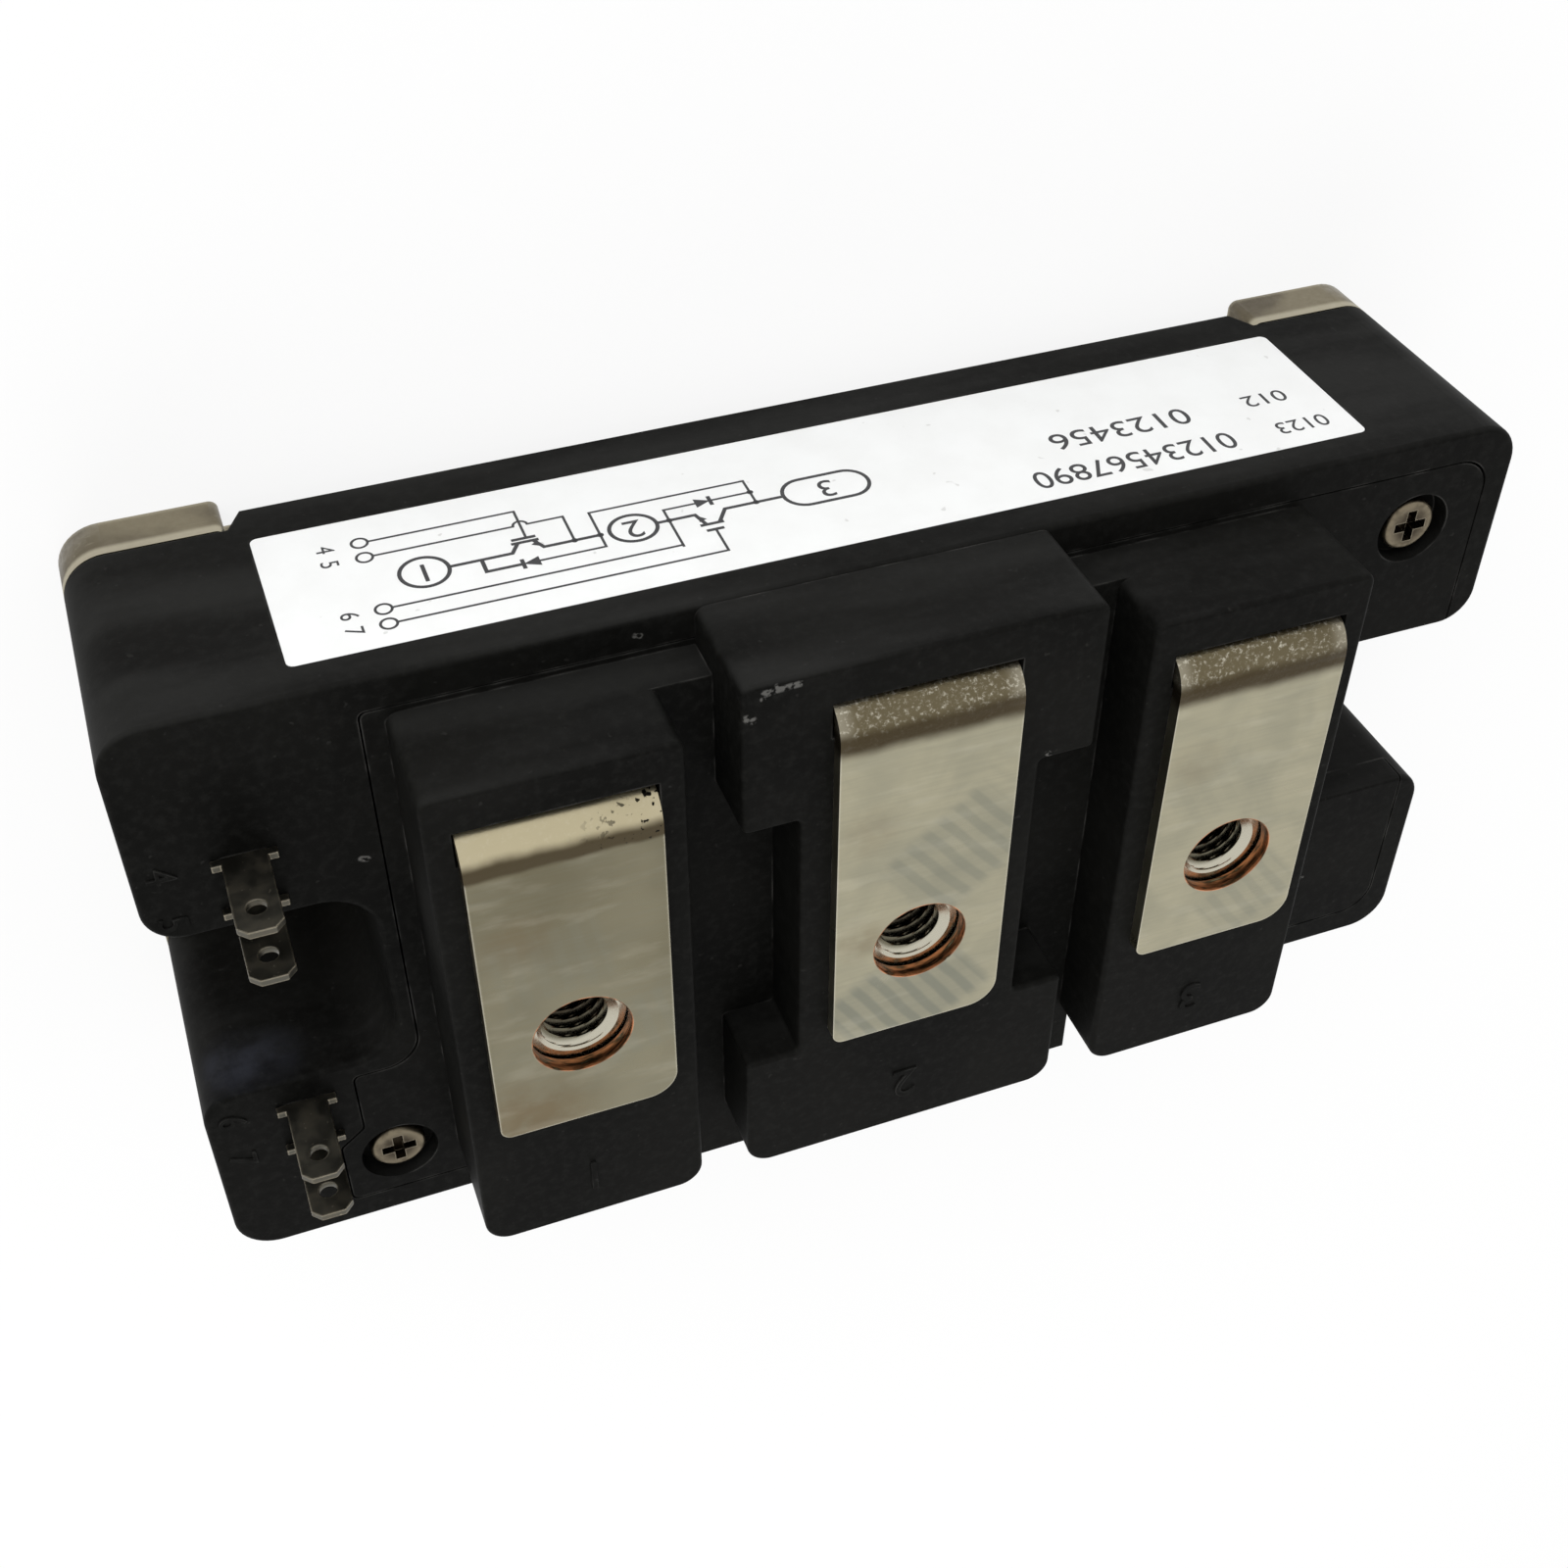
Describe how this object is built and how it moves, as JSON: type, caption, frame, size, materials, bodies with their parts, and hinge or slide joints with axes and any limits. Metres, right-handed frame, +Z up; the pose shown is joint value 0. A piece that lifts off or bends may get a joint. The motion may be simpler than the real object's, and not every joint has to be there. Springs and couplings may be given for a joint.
{
  "type": "igbt module",
  "caption": "Half-bridge power transistor module: flat metal base with end screw notches, black case, folded screw terminals over nuts and small signal blades.",
  "frame": {"origin": "centre of the base plate's underside", "axes": "+X along the module towards the signal blades, +Z up out of the base plate, label on the -Y side"},
  "size_m": [0.094, 0.048, 0.0305],
  "materials": {
    "base_nickel": "nickel-plated copper, dull satin",
    "case_plastic": "black moulded thermoplastic, fine satin texture",
    "seal_silicone": "cured black silicone adhesive",
    "label_film": "white printed film",
    "terminal_nickel": "nickel-plated copper, rubbed satin",
    "nut_nickel": "nickel-plated steel",
    "tab_tin": "plated brass, dull",
    "screw_nickel": "plated steel, slightly tarnished",
    "solder": "dull solder",
    "bare_copper": "bare copper",
    "ceramic": "white fired ceramic",
    "silicon": "polished metallised silicon",
    "aluminium_wire": "drawn aluminium wire",
    "tinned_lead": "tinned copper lead",
    "gel": "clear silicone gel"
  },
  "bodies": {
    "root": {"back_copper_1": "bare_copper", "back_copper_2": "bare_copper", "base_plate": "base_nickel", "chip_solder_1": "solder", "chip_solder_2": "solder", "collector_track_1": "bare_copper", "collector_track_2": "bare_copper", "diode_chip_1": "silicon", "diode_chip_2": "silicon", "emitter_track_1": "bare_copper", "emitter_track_2": "bare_copper", "emitter_wires_1": "aluminium_wire", "emitter_wires_2": "aluminium_wire", "frame_seal": "seal_silicone", "gate_track_1": "bare_copper", "gate_track_2": "bare_copper", "gate_wires_1": "aluminium_wire", "gate_wires_2": "aluminium_wire", "housing_frame": "case_plastic", "housing_lid": "case_plastic", "lid_screw_1": "screw_nickel", "lid_screw_2": "screw_nickel", "rating_label": "label_film", "sense_track_1": "bare_copper", "sense_track_2": "bare_copper", "signal_lead_1": "tinned_lead", "signal_lead_2": "tinned_lead", "signal_lead_3": "tinned_lead", "signal_lead_4": "tinned_lead", "signal_tab_1": "tab_tin", "signal_tab_2": "tab_tin", "signal_tab_3": "tab_tin", "signal_tab_4": "tab_tin", "silicone_gel": "gel", "substrate_ceramic_1": "ceramic", "substrate_ceramic_2": "ceramic", "substrate_solder_1": "solder", "substrate_solder_2": "solder", "terminal_nut_1": "nut_nickel", "terminal_nut_2": "nut_nickel", "terminal_nut_3": "nut_nickel", "terminal_strip_1": "terminal_nickel", "terminal_strip_2": "terminal_nickel", "terminal_strip_3": "terminal_nickel", "transistor_chip_1": "silicon", "transistor_chip_2": "silicon"}
  },
  "joints": []
}
